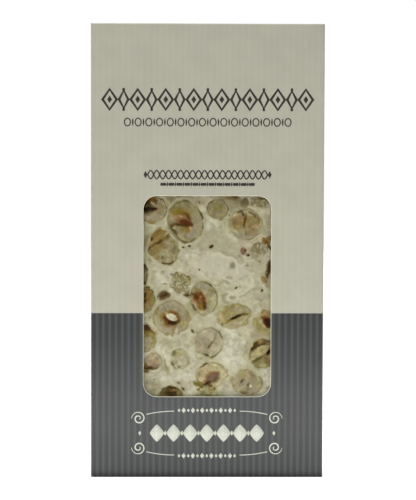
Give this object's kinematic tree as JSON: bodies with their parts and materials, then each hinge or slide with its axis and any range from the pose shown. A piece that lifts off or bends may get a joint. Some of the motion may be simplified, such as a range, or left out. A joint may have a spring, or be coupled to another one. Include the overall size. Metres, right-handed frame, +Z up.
{
  "type": "nougat slice in a windowed carton",
  "caption": "Slim upright folding carton with a clear rounded window that shows a slice of pale crumbly nougat with cut hazelnuts, shut at both ends.",
  "frame": {"origin": "middle of the base that the carton stands on", "axes": "+Z up along the carton's height, front panel with the window facing -Y, +X to the right seen from the front"},
  "size_m": [0.085, 0.016, 0.166],
  "materials": {
    "board": "matt printed board, pale grey-green over dark grey with fine upright stripes",
    "film": "clear glossy film",
    "nougat": "pale cream crumbly sugar and egg white, soft sheen where it touches the wrap",
    "kernel": "cut nut flesh, tan to olive with brown hearts",
    "chopped_nut": "rough chopped nut"
  },
  "bodies": {
    "root": {"carton": "board", "chopped_nut_1": "chopped_nut", "chopped_nut_2": "chopped_nut", "chopped_nut_3": "chopped_nut", "hazelnut_01": "kernel", "hazelnut_02": "kernel", "hazelnut_03": "kernel", "hazelnut_04": "kernel", "hazelnut_05": "kernel", "hazelnut_06": "kernel", "hazelnut_07": "kernel", "hazelnut_08": "kernel", "hazelnut_09": "kernel", "hazelnut_10": "kernel", "hazelnut_11": "kernel", "hazelnut_12": "kernel", "hazelnut_13": "kernel", "hazelnut_14": "kernel", "hazelnut_15": "kernel", "hazelnut_16": "kernel", "hazelnut_17": "kernel", "hazelnut_18": "kernel", "hazelnut_19": "kernel", "hazelnut_20": "kernel", "nougat_slice": "nougat", "window_film": "film"}
  },
  "joints": []
}
